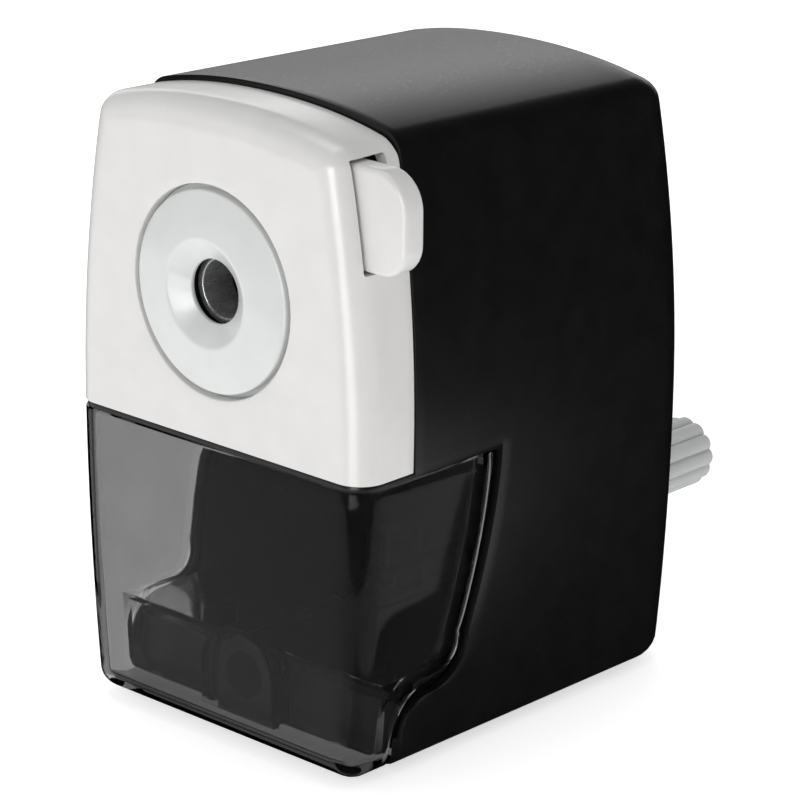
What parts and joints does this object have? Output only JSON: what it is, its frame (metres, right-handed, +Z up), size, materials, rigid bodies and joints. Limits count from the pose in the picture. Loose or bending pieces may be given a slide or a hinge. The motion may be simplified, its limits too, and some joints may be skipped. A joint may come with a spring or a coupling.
{
  "type": "crank pencil sharpener",
  "caption": "Desktop crank pencil sharpener: rounded shell, pull-out jaw-clamp front with round entry, smoke drawer, helical cutter and rear hand crank.",
  "frame": {"origin": "on the table, under the middle of the body at floor level", "axes": "+X to the right seen from the front, +Y to the back (towards the crank), +Z up; the pencil enters along +Y"},
  "size_m": [0.0687, 0.1191, 0.1044],
  "materials": {
    "black_plastic": "glossy moulded ABS",
    "white_plastic": "satin moulded ABS",
    "disc_plastic": "satin moulded ABS",
    "smoke_plastic": "clear smoke styrene",
    "grey_plastic": "satin moulded plastic",
    "frame_plastic": "matt moulded nylon",
    "steel": "turned steel",
    "dark_steel": "blackened steel",
    "cutter_steel": "hardened tool steel",
    "zinc": "zinc die casting",
    "brass": "sintered bronze",
    "rubber": "soft rubber"
  },
  "bodies": {
    "body": {"housing": "black_plastic", "base_plate": "black_plastic", "rubber_feet": "rubber", "base_screws": "steel", "mechanism_frame": "frame_plastic", "frame_screws": "steel", "ring_gear": "zinc", "rear_bush": "brass", "feed_springs": "steel"},
    "drawer": {"drawer": "smoke_plastic"},
    "front": {"front_panel": "white_plastic", "entry_disc": "disc_plastic", "guide_collar": "dark_steel", "clamp_frame": "frame_plastic", "clamp_cover": "frame_plastic", "cover_screws": "steel", "panel_screws": "steel", "guide_rods": "steel", "rod_clips": "dark_steel", "jaw_pins": "steel", "lever_pin": "steel", "lever_spring": "steel"},
    "lever": {"clamp_lever": "white_plastic"},
    "cam": {"cam_ring": "zinc"},
    "jaw_a": {"jaw_1": "zinc"},
    "jaw_b": {"jaw_2": "zinc"},
    "jaw_c": {"jaw_3": "zinc"},
    "crank": {"cutter_carrier": "zinc", "cutter_pin": "steel", "drive_shaft": "steel", "crank_arm": "grey_plastic", "crank_screw": "steel", "knob_pin": "steel"},
    "cutter": {"cutter": "cutter_steel", "cutter_pinion": "cutter_steel"},
    "knob": {"crank_knob": "grey_plastic"}
  },
  "joints": [
    {"name": "drawer_slide", "type": "slide", "parent": "body", "child": "drawer", "axis": [0, -1, 0], "range_m": [0, 0.055]},
    {"name": "front_slide", "type": "slide", "parent": "body", "child": "front", "axis": [0, -1, 0], "range_m": [0, 0.028], "stiffness_N_per_m": 120, "springref_m": -0.02, "deforming": ["feed_springs"]},
    {"name": "lever_press", "type": "hinge", "parent": "front", "child": "lever", "pos_m": [0.0256, -0.0327, 0.0576], "axis": [0, -1, 0], "range_deg": [0, 6.5], "stiffness_Nm_per_rad": 0.3, "springref_deg": -11.46, "deforming": ["lever_spring"]},
    {"name": "ring_turn", "type": "hinge", "parent": "front", "child": "cam", "pos_m": [0, -0.0277, 0.0744], "axis": [0, -1, 0], "range_deg": [-10.3, 0]},
    {"name": "jaw_a_turn", "type": "hinge", "parent": "front", "child": "jaw_a", "pos_m": [0.01169, -0.0251, 0.08115], "axis": [0, -1, 0], "range_deg": [0, 16]},
    {"name": "jaw_b_turn", "type": "hinge", "parent": "front", "child": "jaw_b", "pos_m": [-0.01169, -0.0251, 0.08115], "axis": [0, -1, 0], "range_deg": [0, 16]},
    {"name": "jaw_c_turn", "type": "hinge", "parent": "front", "child": "jaw_c", "pos_m": [0, -0.0251, 0.0609], "axis": [0, -1, 0], "range_deg": [0, 16]},
    {"name": "crank_spin", "type": "hinge", "parent": "body", "child": "crank", "pos_m": [0, 0.04, 0.0744], "axis": [0, 1, 0], "continuous": true},
    {"name": "cutter_spin", "type": "hinge", "parent": "crank", "child": "cutter", "pos_m": [0, -0.0122, 0.0848], "axis": [0, 0.9857, -0.1685], "continuous": true},
    {"name": "knob_spin", "type": "hinge", "parent": "crank", "child": "knob", "pos_m": [0, 0.06, 0.0194], "axis": [0, 1, 0], "continuous": true}
  ],
  "couplings": [
    {"joint": "ring_turn", "follows": "lever_press", "ratio": -1.5517},
    {"joint": "jaw_a_turn", "follows": "lever_press", "ratio": 2.418},
    {"joint": "jaw_b_turn", "follows": "lever_press", "ratio": 2.418},
    {"joint": "jaw_c_turn", "follows": "lever_press", "ratio": 2.418},
    {"joint": "cutter_spin", "follows": "crank_spin", "ratio": -3.1667}
  ]
}
